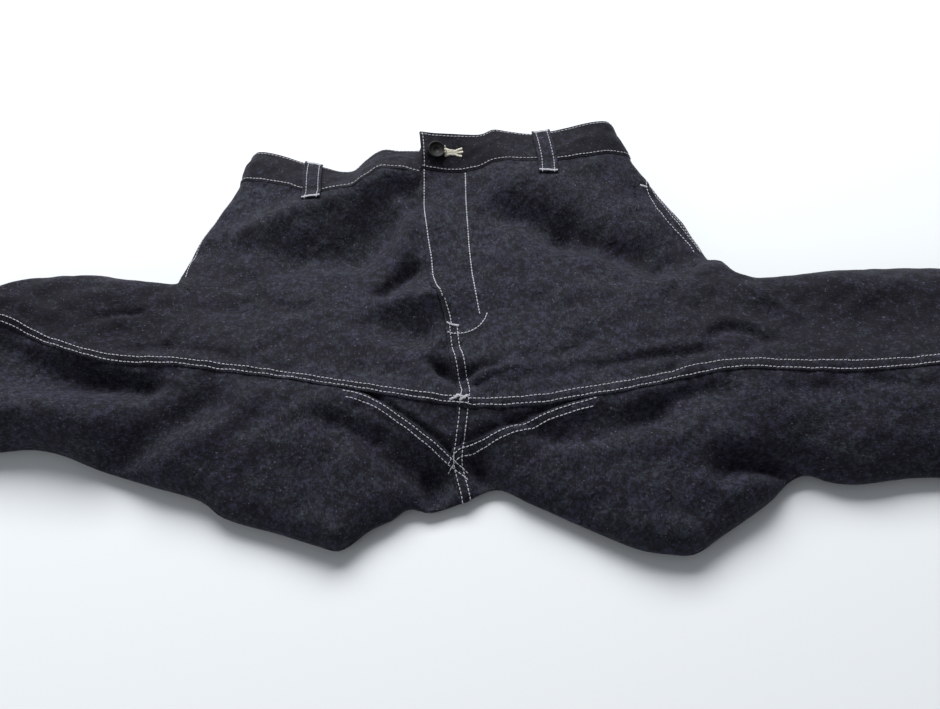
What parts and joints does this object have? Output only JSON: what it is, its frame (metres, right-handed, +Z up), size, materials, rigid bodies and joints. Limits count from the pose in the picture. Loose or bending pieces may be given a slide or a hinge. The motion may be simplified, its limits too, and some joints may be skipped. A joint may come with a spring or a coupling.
{
  "type": "work trousers",
  "caption": "Plain dark denim work trousers laid out flat with the hips front up and the legs opened to either side, with a crotch gusset, waistband, belt loops and front pockets.",
  "frame": {"origin": "on the surface the trousers lie on, under the middle of their overall box", "axes": "+X runs along the wearer's left leg towards its hem, +Y from the crotch towards the waist, +Z up from the surface"},
  "size_m": [1.4101, 0.437, 0.0511],
  "materials": {
    "denim": "raw dark indigo denim, matt, with a fine slubby grain",
    "button": "black, softly shiny"
  },
  "bodies": {
    "root": {"front_panel_left": "denim", "front_panel_right": "denim", "back_panel_left": "denim", "back_panel_right": "denim", "gusset_left": "denim", "gusset_right": "denim", "pocket_facing_left": "denim", "pocket_facing_right": "denim", "waistband_left": "denim", "waistband_right": "denim", "belt_loop_front_left": "denim", "belt_loop_front_right": "denim", "belt_loop_back_left": "denim", "belt_loop_back_centre": "denim", "belt_loop_back_right": "denim", "button": "button"}
  },
  "joints": []
}
